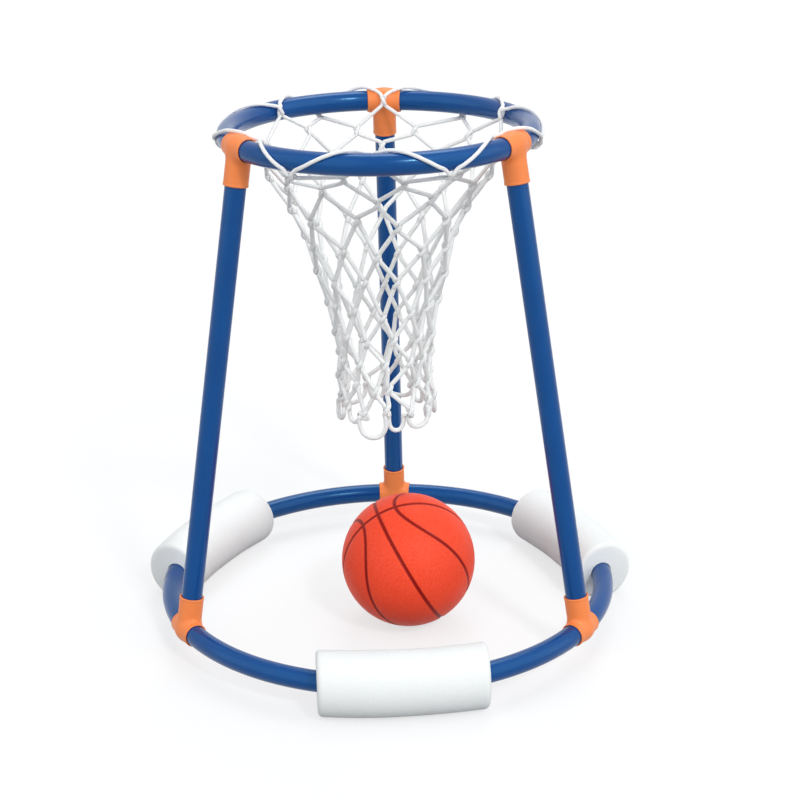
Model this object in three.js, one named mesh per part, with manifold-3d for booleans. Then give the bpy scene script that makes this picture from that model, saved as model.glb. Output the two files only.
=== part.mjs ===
// A small basketball hoop for the edge of a pool or for floating in it.
// Three splayed legs join a rim ring to a wider base ring. Each ring is three bent tubes pushed
// into three moulded tees. Foam sleeves on the base ring carry the hoop, a cord net is woven over
// the rim, and a small rubber ball comes with it.
// Millimetres, +Z up, the floor at zero, the origin under the middle of the footprint.

import * as THREE from 'three';
import { mergeVertices } from 'three/addons/utils/BufferGeometryUtils.js';
import Module from 'manifold-3d';

const wasm = await Module();
wasm.setup();

// Rings and legs
const rimRadius = 190;
const baseRadius = 295;
const rise = 625;
const tubeDiameter = 27;
const tubeWall = 2.5;
const fitGap = 0.3;

// Moulded tees
const fittingDiameter = 33;
const barrelLength = 48;
const socketReach = 48;
const ringStop = 6;
const legStop = 20;
const lipHeight = 0.7;
const lipLength = 3;
const rootBlend = 27;
const rootSpread = 4;

// Foam floats on the base ring
const floatDiameter = 83;
const floatLength = 212;
const floatBoreGap = 0.7;
const floatBevel = 5;
const floatInset = 5;
const floatBendShare = 0.5;

// Net cord and its hang
const cordDiameter = 5;
const netDrop = 400;

// Ball
const ballDiameter = 179;
const ballWall = 3;
const ballAside = 30;
const ballForward = 40;
const valveDiameter = 7;
const valveFlange = 15;
const valveFlangeThickness = 1.5;
const valveRecess = 0.6;
const needleHole = 1.8;
const needleDepth = 2.5;

// One overrun for every cut, and how near two points are one
const overrun = 2;
const weldShare = 0.001;

// Counts and angles
const sides = 16;
const boreSides = 8;
const floatSides = 18;
const rimSteps = 16;
const baseSteps = 20;
const floatSteps = 8;
const degree = Math.PI / 180;
const teeAngles = { back: 90 * degree, left: 210 * degree, right: 330 * degree };
const tubeAngles = { front: 270 * degree, right: 30 * degree, left: 150 * degree };
const floatAngles = { front: 275.7 * degree, right: 24.5 * degree, left: 155.5 * degree };

// Sizes that follow
const tubeRadius = tubeDiameter / 2;
const tubeBore = tubeRadius - tubeWall;
const fittingRadius = fittingDiameter / 2;
const socketRadius = tubeRadius + fitGap;
const baseHeight = floatDiameter / 2;
const rimHeight = baseHeight + rise;
const tilt = Math.atan2(baseRadius - rimRadius, rise);
const legSpan = Math.hypot(baseRadius - rimRadius, rise);
const footprintShift = (floatDiameter / 2 - floatInset - fittingRadius) / 2;

const tubeBlue = { color: 0x145590, roughness: 0.3, metalness: 0 };
const fittingOrange = { color: 0xff8a42, roughness: 0.45, metalness: 0 };
const foamWhite = { color: 0xf4f8f8, roughness: 0.9, metalness: 0 };
const cordWhite = { color: 0xf7f7f2, roughness: 0.85, metalness: 0 };
const ballOrange = { color: 0xf4563c, roughness: 0.7, metalness: 0 };
const valveBlack = { color: 0x2a2624, roughness: 0.8, metalness: 0 };

// Closed meshes

// Merges a geometry's shared points and drops the flat triangles that a pole leaves
function closedMesh(geometry) {
  geometry.deleteAttribute('normal');
  geometry.deleteAttribute('uv');
  const merged = mergeVertices(geometry, fitGap * weldShare);
  const index = merged.index.array;
  const kept = [];
  for (let i = 0; i < index.length; i += 3) {
    const [a, b, c] = index.slice(i, i + 3);
    if (a !== b && b !== c && c !== a) kept.push(a, b, c);
  }
  merged.setIndex(kept);
  return merged;
}

function toSolid(geometry) {
  const mesh = closedMesh(geometry);
  return new wasm.Manifold(new wasm.Mesh({
    numProp: 3,
    vertProperties: new Float32Array(mesh.attributes.position.array),
    triVerts: new Uint32Array(mesh.index.array),
  }));
}

function toGeometry(solid) {
  const mesh = solid.getMesh();
  const geometry = new THREE.BufferGeometry();
  geometry.setAttribute('position', new THREE.BufferAttribute(mesh.vertProperties, 3));
  geometry.setIndex(new THREE.BufferAttribute(mesh.triVerts, 1));
  return geometry;
}

// Rings of bent tube

// An arc about the Z axis, its middle on +X
class RingArc extends THREE.Curve {
  constructor(radius, halfAngle) {
    super();
    this.radius = radius;
    this.halfAngle = halfAngle;
  }

  getPoint(share, target = new THREE.Vector3()) {
    const angle = this.halfAngle * (2 * share - 1);
    return target.set(this.radius * Math.cos(angle), this.radius * Math.sin(angle), 0);
  }

  getTangent(share, target = new THREE.Vector3()) {
    const angle = this.halfAngle * (2 * share - 1);
    return target.set(-Math.sin(angle), Math.cos(angle), 0);
  }
}

// A round section with a flat, not a corner, on each axis
function roundSection(radius, count) {
  const points = [];
  for (let i = 0; i < count; i += 1) {
    const angle = (i + 0.5) * 2 * Math.PI / count;
    points.push(new THREE.Vector2(radius * Math.cos(angle), radius * Math.sin(angle)));
  }
  return points;
}

function pipeShape(radius, count, bore, boreCount) {
  const shape = new THREE.Shape(roundSection(radius, count));
  shape.holes.push(new THREE.Path(roundSection(bore, boreCount)));
  return shape;
}

function ringTube(ringRadius, steps) {
  const halfAngle = Math.PI / 3 - (ringStop / 2 + fitGap) / ringRadius;
  const shape = pipeShape(tubeRadius, sides, tubeBore, boreSides);
  const extrudePath = new RingArc(ringRadius, halfAngle);
  return closedMesh(new THREE.ExtrudeGeometry(shape, { steps, extrudePath, bevelEnabled: false }));
}

// The length along the ring of one straight facet of a bent tube
function ringFacet(ringRadius, steps) {
  return (ringRadius * 2 * Math.PI / 3 - ringStop - 2 * fitGap) / steps;
}

function legTube() {
  const shape = pipeShape(tubeRadius, sides, tubeBore, boreSides);
  const depth = legSpan - 2 * (legStop + fitGap);
  return closedMesh(new THREE.ExtrudeGeometry(shape, { depth, bevelEnabled: false }));
}

// Tees

// Turns a profile of [radius, height] pairs about the Y axis, with flats on the other two
function turned(profile, count = sides, start = Math.PI / count) {
  const points = profile.map(([radius, height]) => new THREE.Vector2(radius, height));
  return new THREE.LatheGeometry(points, count, start);
}

// Bends what stands along Y at the origin so that it follows the ring at its +X point
function bendToRing(geometry, ringRadius) {
  const place = geometry.attributes.position;
  for (let i = 0; i < place.count; i += 1) {
    const angle = place.getY(i) / ringRadius;
    const reach = ringRadius + place.getX(i);
    place.setXYZ(i, reach * Math.cos(angle), reach * Math.sin(angle), place.getZ(i));
  }
  return geometry;
}

// Widens a socket along the ring near its root, where it runs into the barrel
function spreadRoot(geometry) {
  const place = geometry.attributes.position;
  for (let i = 0; i < place.count; i += 1) {
    const near = Math.max(0, 1 - Math.abs(place.getZ(i)) / rootBlend);
    place.setY(i, place.getY(i) * (1 + near * 2 * rootSpread / fittingDiameter));
  }
  return geometry;
}

// Lays what stands along Y from the ring's centreline along the leg, up or down
function alongLeg(geometry, ringRadius, upward) {
  const quarter = upward ? Math.PI / 2 : -Math.PI / 2;
  return spreadRoot(geometry.rotateX(quarter)).rotateY(-tilt).translate(ringRadius, 0, 0);
}

function tee(ringRadius, steps, upward) {
  const half = barrelLength / 2;
  const stop = ringStop / 2;
  const facet = ringFacet(ringRadius, steps);
  const facets = Math.ceil((half + overrun - stop) / facet);
  const boreHalf = Array.from({ length: facets + 1 }, (_, i) => [socketRadius, stop + i * facet]);
  const boreEnd = stop + facets * facet;
  const barrel = turned([
    [0, -half], [fittingRadius, -half], [fittingRadius, 0], [fittingRadius, half], [0, half],
  ]);
  const barrelBore = turned([
    [0, -boreEnd], ...boreHalf.map(([radius, at]) => [radius, -at]).reverse(), [tubeBore, -stop],
    [tubeBore, stop], ...boreHalf, [0, boreEnd],
  ]);
  const lipRadius = fittingRadius + lipHeight;
  const lipStart = socketReach - lipLength;
  const socket = turned([
    [0, 0], [fittingRadius, 0], [fittingRadius, fittingRadius], [fittingRadius, rootBlend],
    [fittingRadius, lipStart], [lipRadius, lipStart], [lipRadius, socketReach], [0, socketReach],
  ]);
  const socketBore = turned([
    [0, 0], [tubeBore, 0], [tubeBore, legStop], [socketRadius, legStop],
    [socketRadius, socketReach + overrun], [0, socketReach + overrun],
  ]);
  const quarter = upward ? Math.PI / 2 : -Math.PI / 2;
  const boreAlongLeg = socketBore.rotateX(quarter).rotateY(-tilt).translate(ringRadius, 0, 0);
  const body = toSolid(bendToRing(barrel, ringRadius)).add(toSolid(alongLeg(socket, ringRadius, upward)));
  const hollow = toSolid(bendToRing(barrelBore, ringRadius)).add(toSolid(boreAlongLeg));
  return toGeometry(body.subtract(hollow));
}

// Foam floats: a straight sleeve, bevelled at its ends, pushed on the bent tube. It is the stiffer
// of the two, so it bends less than its bore does, and its middle lies inside the ring's line.

function foamFloat() {
  const half = floatLength / 2;
  const flat = Math.cos(Math.PI / floatSides);
  const outer = floatDiameter / 2 / flat;
  const bore = (tubeRadius + floatBoreGap) / flat;
  const shares = Array.from({ length: floatSteps + 1 }, (_, i) => 2 * i / floatSteps - 1);
  const outerFace = shares.map((share) => [outer, share * (half - floatBevel)]);
  const boreFace = shares.map((share) => [bore, -share * half]);
  const ends = [[outer - floatBevel, half], [outer - floatBevel, -half]];
  const sleeve = turned([...outerFace, ends[0], ...boreFace, ends[1], outerFace[0]], floatSides);
  const place = sleeve.attributes.position;
  for (let i = 0; i < place.count; i += 1) {
    const [x, y, z] = [place.getX(i), place.getY(i), place.getZ(i)];
    const onRing = Math.sqrt(baseRadius ** 2 - y ** 2);
    const middle = baseRadius - floatInset - floatBendShare * (baseRadius - onRing);
    const inBore = Math.hypot(x, z) < tubeDiameter;
    place.setX(i, inBore ? onRing + x * baseRadius / onRing : middle + x);
  }
  return closedMesh(sleeve);
}

// Net: knots in rows around the hoop, each row turned half a mesh from the last. The first row lies
// on the rim, in turn on its inner face and under its outer face, with a cord over the tube between.

const netLoops = 12;
const meshAngle = 2 * Math.PI / netLoops;
const rowDropShare = [0.076, 0.141, 0.234, 0.338, 0.448, 0.553, 0.65, 0.735, 0.815, 0.89];
const rowRadiusShare = [0.8, 0.716, 0.608, 0.518, 0.442, 0.384, 0.35, 0.327, 0.319, 0.33];
const hemLoopShare = [
  [-0.5, 0], [-0.41, 0.28], [-0.4, 0.6], [-0.26, 0.9], [0, 1],
  [0.26, 0.9], [0.4, 0.6], [0.41, 0.28], [0.5, 0],
];
const innerFaceAngle = 10 * degree;
const outerFaceAngle = 245 * degree;
const wrapSteps = 8;
const hemSteps = 6;
const cordRadius = cordDiameter / 2;
const knotSwell = 1.35;
const hexagon = [0, 60, 120, 180, 240, 300].map((angle) => angle * degree);

// A point by its angle about the hoop's axis, its reach from the axis and its height
function polar(angle, reach, height) {
  return new THREE.Vector3(reach * Math.cos(angle), reach * Math.sin(angle), height);
}

// How far a cord's middle lies from the middle of what it crosses, with room for its straight steps
function cordOver(radius) {
  const turn = (outerFaceAngle - innerFaceAngle) / wrapSteps;
  const sag = rimRadius * (1 - Math.cos(meshAngle / wrapSteps / 2));
  return (radius + cordRadius + fitGap) / Math.cos(turn / 2) + sag;
}

// The cord clears a tee's barrel near the tee, and then comes down to the tube
function cordLift(angle) {
  const nearest = Math.min(...Object.values(teeAngles).map((at) => Math.abs(angle - at)));
  const past = nearest * rimRadius - barrelLength / 2 - cordDiameter;
  const share = THREE.MathUtils.clamp(1 - past / barrelLength * 2, 0, 1);
  return cordOver(tubeRadius) + (fittingRadius - tubeRadius) * share;
}

function onRim(angle, faceAngle) {
  const lift = cordLift(angle);
  const reach = rimRadius - lift * Math.cos(faceAngle);
  return polar(angle, reach, rimHeight + lift * Math.sin(faceAngle));
}

// A knot: its place, the way out of the net there, and the cords that leave it
function makeKnot(place, outward) {
  return { place, outward: outward.normalize(), cords: [] };
}

function rimKnot(column) {
  const angle = column * meshAngle;
  const inner = column % 2 === 1;
  const face = inner ? innerFaceAngle : outerFaceAngle;
  const away = inner ? 1 : -1;
  return makeKnot(onRim(angle, face), polar(angle, away * Math.cos(face), -away * Math.sin(face)));
}

function rowReach(row) {
  return row === 0 ? rimRadius : rimRadius * rowRadiusShare[row - 1];
}

function rowHeight(row) {
  return row === 0 ? rimHeight : rimHeight - netDrop * rowDropShare[row - 1];
}

function hangingKnot(row, column) {
  const angle = (column + (row % 2) / 2) * meshAngle;
  const last = Math.min(row + 1, rowDropShare.length);
  const fall = rowHeight(row - 1) - rowHeight(last);
  const draw = rowReach(last) - rowReach(row - 1);
  return makeKnot(polar(angle, rowReach(row), rowHeight(row)), polar(angle, fall, draw));
}

// Works out the corners that a knot's cords share, where neighbours meet in a mitre
function mitreKnot(knot, points) {
  const { place, outward, cords } = knot;
  const east = new THREE.Vector3(-place.y, place.x, 0).projectOnPlane(outward).normalize();
  const north = new THREE.Vector3().crossVectors(outward, east);
  cords.forEach((cord) => { cord.angle = Math.atan2(cord.way.dot(north), cord.way.dot(east)); });
  cords.sort((a, b) => a.angle - b.angle);
  const crown = cordRadius * Math.sin(hexagon[1]);
  const corners = cords.map((cord, i) => {
    const next = cords[(i + 1) % cords.length].angle + (i + 1 === cords.length ? 2 * Math.PI : 0);
    const middle = (cord.angle + next) / 2;
    const reach = cordRadius / Math.sin((next - cord.angle) / 2);
    const way = east.clone().multiplyScalar(Math.cos(middle)).addScaledVector(north, Math.sin(middle));
    const side = place.clone().addScaledVector(way, reach);
    const half = place.clone().addScaledVector(way, reach * Math.cos(hexagon[1]));
    const over = half.clone().addScaledVector(outward, crown);
    const under = half.clone().addScaledVector(outward, -crown);
    return [side, over, under].map((point) => points.push(point) - 1);
  });
  cords.forEach((cord, i) => {
    const [side, over, under] = corners[i];
    const [sideBefore, overBefore, underBefore] = corners[(i + cords.length - 1) % cords.length];
    cord.ring = [side, over, overBefore, sideBefore, underBefore, under];
  });
  return corners;
}

// Closes a knot's two faces with a low swelling
function capKnot(knot, corners, points, faces, swellUnder) {
  const swell = cordRadius * knotSwell;
  const top = points.push(knot.place.clone().addScaledVector(knot.outward, swell)) - 1;
  const low = points.push(knot.place.clone().addScaledVector(knot.outward, -swell * swellUnder)) - 1;
  corners.forEach(([, over, under], i) => {
    const [, overBefore, underBefore] = corners[(i + corners.length - 1) % corners.length];
    faces.push(overBefore, over, top, under, underBefore, low);
  });
}

function bridge(from, to, faces) {
  from.forEach((a, i) => {
    const j = (i + 1) % from.length;
    faces.push(a, from[j], to[j], a, to[j], to[i]);
  });
}

// Turns a ring of points so that it follows on from another without a twist
function untwist(from, to, points) {
  const middleOf = (ring) => ring.reduce((sum, at) => sum.add(points[at]), new THREE.Vector3())
    .divideScalar(ring.length);
  const shift = middleOf(to).sub(middleOf(from));
  const twist = (ring) => ring.reduce((sum, at, i) => {
    return sum + points[from[i]].clone().add(shift).distanceToSquared(points[at]);
  }, 0);
  const turns = to.map((_, start) => to.map((__, i) => to[(i + start) % to.length]));
  return turns.reduce((best, ring) => (twist(ring) < twist(best) ? ring : best));
}

// A cord from one knot to another, straight or through the places between
function layCord(first, second, between, points, faces) {
  let ring = first.ring;
  let up = first.up.clone();
  const places = [first.place, ...between, second.place];
  between.forEach((place, i) => {
    const ahead = places[i + 2].clone().sub(places[i]).normalize();
    up = up.projectOnPlane(ahead).normalize();
    const left = new THREE.Vector3().crossVectors(up, ahead);
    const next = hexagon.map((angle) => {
      const point = place.clone().addScaledVector(left, cordRadius * Math.cos(angle));
      return points.push(point.addScaledVector(up, cordRadius * Math.sin(angle))) - 1;
    });
    bridge(ring, next, faces);
    ring = next;
  });
  bridge(ring, untwist(ring, [...second.ring].reverse(), points), faces);
}

// The places of a cord that goes over the tube from a knot inside it to one under it
function overRim(innerColumn, outerColumn) {
  const places = [];
  for (let i = 1; i < wrapSteps; i += 1) {
    const share = i / wrapSteps;
    const angle = THREE.MathUtils.lerp(innerColumn, outerColumn, share) * meshAngle;
    places.push(onRim(angle, THREE.MathUtils.lerp(innerFaceAngle, outerFaceAngle, share)));
  }
  return places;
}

// The places of a loop at the hem, from one knot of the last row to the next
function hemLoop(column) {
  const row = rowDropShare.length;
  const drop = netDrop * (1 - rowDropShare[row - 1]);
  const places = hemLoopShare.map(([across, down]) => {
    const angle = (column + 0.5 + across + (row % 2) / 2) * meshAngle;
    return polar(angle, rowReach(row), rowHeight(row) - drop * down);
  });
  return new THREE.CatmullRomCurve3(places).getSpacedPoints(hemSteps).slice(1, -1);
}

function cordNet() {
  const points = [];
  const faces = [];
  const lastRow = rowDropShare.length;
  const columns = Array.from({ length: netLoops }, (_, column) => column);
  const knots = [columns.map(rimKnot)];
  for (let row = 1; row <= lastRow; row += 1) {
    knots.push(columns.map((column) => hangingKnot(row, column)));
  }
  const cords = [];
  const tie = (a, b, between = []) => {
    const wayA = (between[0] ?? b.place).clone().sub(a.place);
    const wayB = (between[between.length - 1] ?? a.place).clone().sub(b.place);
    const first = { way: wayA, place: a.place, up: a.outward };
    const second = { way: wayB, place: b.place, up: b.outward };
    a.cords.push(first);
    b.cords.push(second);
    cords.push([first, second, between]);
  };
  const knotAt = (row, column) => knots[row][(column + netLoops) % netLoops];
  for (let row = 1; row <= lastRow; row += 1) {
    columns.forEach((column) => {
      const left = row % 2 === 1 ? column : column - 1;
      tie(knotAt(row - 1, left), knotAt(row, column));
      tie(knotAt(row - 1, left + 1), knotAt(row, column));
    });
  }
  columns.filter((column) => column % 2 === 1).forEach((column) => {
    [column - 1, column + 1].forEach((outer) => {
      tie(knotAt(0, column), knotAt(0, outer), overRim(column, outer));
    });
  });
  columns.forEach((column) => {
    tie(knotAt(lastRow, column), knotAt(lastRow, column + 1), hemLoop(column));
  });
  knots.forEach((row, number) => row.forEach((knot) => {
    const corners = mitreKnot(knot, points);
    capKnot(knot, corners, points, faces, number === 0 ? 1 / knotSwell : 1);
  }));
  cords.forEach(([first, second, between]) => layCord(first, second, between, points, faces));
  const geometry = new THREE.BufferGeometry().setFromPoints(points);
  geometry.setIndex(faces);
  return geometry;
}

// Ball: a rubber shell with a valve in it, lying between the legs

const ballBands = 14;
const ballSegments = 24;
const liningBands = 6;
const ballTurn = 6 * Math.PI / ballBands;
const ballRadius = ballDiameter / 2;
const valveRadius = valveDiameter / 2;
const holeRadius = valveRadius + fitGap;

// Half a circle from the lower pole up to the edge of the valve's hole
function halfCircle(radius, bands) {
  const points = [];
  for (let i = 0; i < bands; i += 1) {
    const angle = i * Math.PI / bands;
    points.push([radius * Math.sin(angle), -radius * Math.cos(angle)]);
  }
  points.push([holeRadius, Math.sqrt(radius ** 2 - holeRadius ** 2)]);
  return points;
}

// The shell's inner face, from the valve's hole down
function lining() {
  return halfCircle(ballRadius - ballWall, liningBands).reverse();
}

function ballShell() {
  const shell = turned([...halfCircle(ballRadius, ballBands), ...lining()], ballSegments, 0);
  return closedMesh(shell.rotateX(Math.PI / 2));
}

// The valve is a plug with a flange that lies against the lining, and a needle hole in its face
function ballValve() {
  const face = ballRadius - valveRecess;
  const flangeRadius = valveFlange / 2;
  const [[edgeReach, edgeHeight], [nextReach, nextHeight]] = lining();
  const slope = (edgeHeight - nextHeight) / (nextReach - edgeReach);
  const flangeTop = edgeHeight - (flangeRadius - edgeReach) * slope - fitGap;
  const flangeLow = flangeTop - valveFlangeThickness;
  const plug = turned([
    [0, flangeLow], [flangeRadius, flangeLow], [flangeRadius, flangeTop], [valveRadius, flangeTop],
    [valveRadius, face], [needleHole / 2, face], [0, face - needleDepth],
  ]);
  return closedMesh(plug.rotateX(Math.PI / 2));
}

// Assembly

const hoop = new THREE.Group();
hoop.position.y = footprintShift;

function piece(name, geometry, finish) {
  const mesh = new THREE.Mesh(geometry, new THREE.MeshStandardMaterial(finish));
  mesh.name = name;
  return mesh;
}

// Adds a piece for each angle around the hoop's axis, at its own height
function around(prefix, angles, geometry, finish, height, settle = (mesh) => mesh) {
  Object.entries(angles).forEach(([side, angle]) => {
    const station = new THREE.Group();
    station.rotation.z = angle;
    station.position.z = height;
    station.add(settle(piece(`${prefix}_${side}`, geometry, finish)));
    hoop.add(station);
  });
}

around('rim_tube', tubeAngles, ringTube(rimRadius, rimSteps), tubeBlue, rimHeight);
around('rim_tee', teeAngles, tee(rimRadius, rimSteps, false), fittingOrange, rimHeight);
around('leg', teeAngles, legTube(), tubeBlue, baseHeight, (mesh) => {
  const start = legStop + fitGap;
  mesh.position.set(baseRadius - start * Math.sin(tilt), 0, start * Math.cos(tilt));
  mesh.rotation.y = -tilt;
  return mesh;
});
around('base_tee', teeAngles, tee(baseRadius, baseSteps, true), fittingOrange, baseHeight);
around('base_tube', tubeAngles, ringTube(baseRadius, baseSteps), tubeBlue, baseHeight);
around('float', floatAngles, foamFloat(), foamWhite, baseHeight);
hoop.add(piece('net', cordNet(), cordWhite));

const ball = new THREE.Group();
ball.position.set(ballAside, -ballForward, ballRadius);
ball.rotation.x = -ballTurn;
ball.add(piece('ball', ballShell(), ballOrange));
ball.add(piece('ball_valve', ballValve(), valveBlack));
hoop.add(ball);

export default hoop;
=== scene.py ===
import math

import bpy
import numpy as np
from mathutils import Matrix


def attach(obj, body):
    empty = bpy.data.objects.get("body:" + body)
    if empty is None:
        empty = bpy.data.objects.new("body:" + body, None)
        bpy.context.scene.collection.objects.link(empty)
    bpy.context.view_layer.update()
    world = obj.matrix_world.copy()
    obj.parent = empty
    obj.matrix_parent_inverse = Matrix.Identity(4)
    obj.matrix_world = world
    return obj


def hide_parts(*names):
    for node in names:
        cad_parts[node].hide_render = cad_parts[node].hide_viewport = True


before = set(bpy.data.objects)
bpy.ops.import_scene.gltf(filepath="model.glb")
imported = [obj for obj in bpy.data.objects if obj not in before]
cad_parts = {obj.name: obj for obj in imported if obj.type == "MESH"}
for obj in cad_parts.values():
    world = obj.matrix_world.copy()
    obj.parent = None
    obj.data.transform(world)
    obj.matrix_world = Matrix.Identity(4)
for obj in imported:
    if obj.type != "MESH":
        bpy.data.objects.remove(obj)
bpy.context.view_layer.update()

# Camera: it stands 2.2 metres in front of the hoop, a little to the right and half a metre above
# the rim, and looks down at the middle through a short telephoto lens, held a degree off level.
camera_place = (0.0980, -2.2255, 1.1460)
camera_heading = math.radians(1.97)
camera_pitch = math.radians(20.63)
camera_roll = math.radians(-1.0)
camera_lens = 81.05

camera = bpy.data.objects.new("camera", bpy.data.cameras.new("camera"))
camera.data.lens = camera_lens
camera.matrix_world = (
    Matrix.Translation(camera_place)
    @ Matrix.Rotation(camera_heading, 4, "Z")
    @ Matrix.Rotation(math.pi / 2 - camera_pitch, 4, "X")
    @ Matrix.Rotation(camera_roll, 4, "Z")
)
bpy.context.scene.collection.objects.link(camera)
bpy.context.scene.camera = camera

# Rim ring: three lengths of blue PVC tube, extruded, warmed and bent to a third of a circle
# each, and pushed into the tees between them. Both rings share an axis behind the origin.
mm = 0.001
ring_axis = 10 * mm
rim_radius = 190 * mm
rim_height = 666.5 * mm
tube_radius = 13.5 * mm
tube_bore = 11 * mm
tube_edge = 0.6 * mm
tube_sides = 64
edge_steps = 6
face_steps = 3
ring_stop = 6 * mm
fit_gap = 0.3 * mm
tube_angles = {"front": 270, "right": 30, "left": 150}
sharpest_smooth = math.radians(50)


def linear(code):
    """Turns an sRGB hex colour into the linear colour that a shader takes."""
    share = np.array([int(code[i:i + 2], 16) for i in (0, 2, 4)]) / 255
    value = np.where(share <= 0.04045, share / 12.92, ((share + 0.055) / 1.055) ** 2.4)
    return (*value, 1)


def new_material(name):
    """An empty material with that name, and its node tree."""
    material = bpy.data.materials.new(name)
    material.use_nodes = True
    material.node_tree.nodes.clear()
    return material, material.node_tree


def add_node(tree, kind, inputs=None, **settings):
    """Adds a node: its settings are properties, and each input is a value or another's output.

    A Mix node's share is its input 0, its two colours are 6 and 7, and its result is output 2."""
    node = tree.nodes.new("ShaderNode" + kind)
    for name, value in settings.items():
        setattr(node, name, value)
    for name, value in (inputs or {}).items():
        if isinstance(value, bpy.types.NodeSocket):
            tree.links.new(value, node.inputs[name])
        else:
            node.inputs[name].default_value = value
    return node


def add_object(name, points, faces, material):
    """A smooth object from points and four-sided faces, turned so that the faces look outwards.

    Six times the volume that the faces close in is the sum, over their two triangles, of
    a . (b x c), and it is below zero where they look inwards."""
    a, b, c, d = (points[faces[:, i]] for i in range(4))
    volume = np.einsum("ij,ij", a, np.cross(b, c)) + np.einsum("ij,ij", a, np.cross(c, d))
    mesh = bpy.data.meshes.new(name)
    mesh.from_pydata(points, [], faces if volume > 0 else faces[:, ::-1])
    mesh.shade_smooth()
    mesh.set_sharp_from_angle(angle=sharpest_smooth)
    mesh.materials.append(material)
    made = bpy.data.objects.new(name, mesh)
    bpy.context.scene.collection.objects.link(made)
    return made


def grid_faces(rows, columns):
    """Joins each point of a grid that is closed both ways to its neighbours, as index rows."""
    row, column = np.meshgrid(np.arange(rows), np.arange(columns), indexing="ij")
    ahead, beside = (row + 1) % rows, (column + 1) % columns
    corners = [(row, column), (row, beside), (ahead, beside), (ahead, column)]
    return np.stack([r * columns + c for r, c in corners], axis=-1).reshape(-1, 4)


def corner_points(mesh):
    """The number of the point at each corner of a mesh's faces, face after face."""
    corner = np.zeros(len(mesh.loops), dtype=np.int32)
    mesh.loops.foreach_get("vertex_index", corner)
    return corner


def past_seam(number, count):
    """Four corners a row: where a face runs from the last of count rows or columns back to the
    first, its corners on the first get the number count, so that the map goes on."""
    number = number.reshape(-1, 4)
    meets_start = number.max(1, keepdims=True) == count - 1
    return np.where((number == 0) & meets_start, count, number)


def add_surface(name, grid, along, around, material):
    """An object from a grid that is closed both ways, with a UV map in metres over it.

    along holds each row's distance and around each column's, and both end with the value at
    which the grid meets its own start, so that no face runs back across the map."""
    rows, columns = grid.shape[:2]
    made = add_object(name, grid.reshape(-1, 3), grid_faces(rows, columns), material)
    row, column = np.divmod(corner_points(made.data), columns)
    flat = np.stack([along[past_seam(row, rows)], around[past_seam(column, columns)]], axis=-1)
    made.data.uv_layers.new(name="surface").data.foreach_set("uv", flat.ravel())
    return made


def ring_line(radius, height, middle):
    """The middle line of a ring, as a function of the distance s from the angle middle.

    The angle is middle + s / radius; it gives the place there, the way out from the ring's
    axis, and the way up."""
    def line(s):
        angle = middle + s / radius
        out = np.stack([np.cos(angle), np.sin(angle), 0 * angle], axis=-1)
        up = np.broadcast_to([0.0, 0.0, 1.0], out.shape)
        return radius * out + [0, ring_axis, height], out, up
    return line


def sleeve_profile(half, outer, bore, edge, steps):
    """The wall of a sleeve cut along its axis, as distances along it and radii.

    It runs along the outer face, round a quarter circle with the radius edge, down the end
    face, back along the bore and up the other end face, and closes on itself."""
    turn = np.linspace(0, math.pi / 2, edge_steps + 1)[1:]
    wall = np.linspace(edge - half, half - edge, steps)
    corner = half - edge + edge * np.sin(turn)
    corner_reach = outer - edge + edge * np.cos(turn)
    face = np.linspace(outer - edge, bore, face_steps + 1)[1:]
    end = np.full(face_steps, half)
    along = np.concatenate([wall, corner, end, wall[::-1], -end, -corner[::-1]])
    reach = np.concatenate([np.full(steps, outer), corner_reach, face, np.full(steps, bore),
                            face[::-1], corner_reach[::-1]])
    return along, reach


def turned_about(line, along, reach, count):
    """Turns a profile about a line: place(s) + r (cos(a) out(s) + sin(a) up(s)).

    s and r are the profile's distances and radii, and a goes once round in count steps."""
    place, out, up = (part[:, None] for part in line(along))
    angle = np.linspace(0, 2 * math.pi, count, endpoint=False)[None, :, None]
    radii = np.broadcast_to(np.asarray(reach).reshape(len(along), -1), (len(along), count))
    return place + radii[..., None] * (np.cos(angle) * out + np.sin(angle) * up)


def add_sleeve(name, line, along, reach, count, material):
    """A sleeve about a line as one closed object, its UV map running along and around it."""
    grid = turned_about(line, along, reach, count)
    lengths = np.append(along, along[0])
    around = np.linspace(0, 2 * math.pi * np.max(reach), count + 1)
    return add_surface(name, grid, lengths, around, material)


# PVC tube, extruded: a hard glossy skin with a painted sky reflection, a pale blue tint on all it
# reflects, faint lines drawn along it by the die, a little cloudiness in the blue, and scuffs that
# dull it in patches.
pvc_blue = linear("0A4A92")
pvc_blue_deep = linear("0E3E82")
# The pale blue tint on the tube's reflections is a painted sky reflection.
painted_sky_reflection_tint = linear("8FD6F8")
die_line = 1.1 * mm
die_line_run = 90 * mm
scuff_size = 14 * mm
cloud_size = 60 * mm

pvc, tree = new_material("blue_pvc_extruded")
surface_map = add_node(tree, "UVMap", uv_map="surface")
drawn = add_node(tree, "Mapping", {
    "Vector": surface_map.outputs["UV"], "Scale": (1 / die_line_run, 1 / die_line, 1)})
die_lines = add_node(tree, "TexNoise", {
    "Vector": drawn.outputs["Vector"], "Scale": 1, "Detail": 2})
place = add_node(tree, "TexCoord")
scuffs = add_node(tree, "TexNoise", {
    "Vector": place.outputs["Object"], "Scale": 1 / scuff_size, "Detail": 4, "Roughness": 0.55})
dulling = add_node(tree, "MapRange", {
    "Value": scuffs.outputs["Fac"], "From Min": 0.35, "From Max": 0.75,
    "To Min": 0.17, "To Max": 0.28})
cloud = add_node(tree, "TexNoise", {
    "Vector": place.outputs["Object"], "Scale": 1 / cloud_size, "Detail": 3})
blue = add_node(tree, "Mix", {
    0: cloud.outputs["Fac"], 6: pvc_blue_deep, 7: pvc_blue}, data_type="RGBA")
relief = add_node(tree, "Bump", {
    "Height": die_lines.outputs["Fac"], "Distance": 0.03 * mm, "Strength": 0.6})
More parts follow.
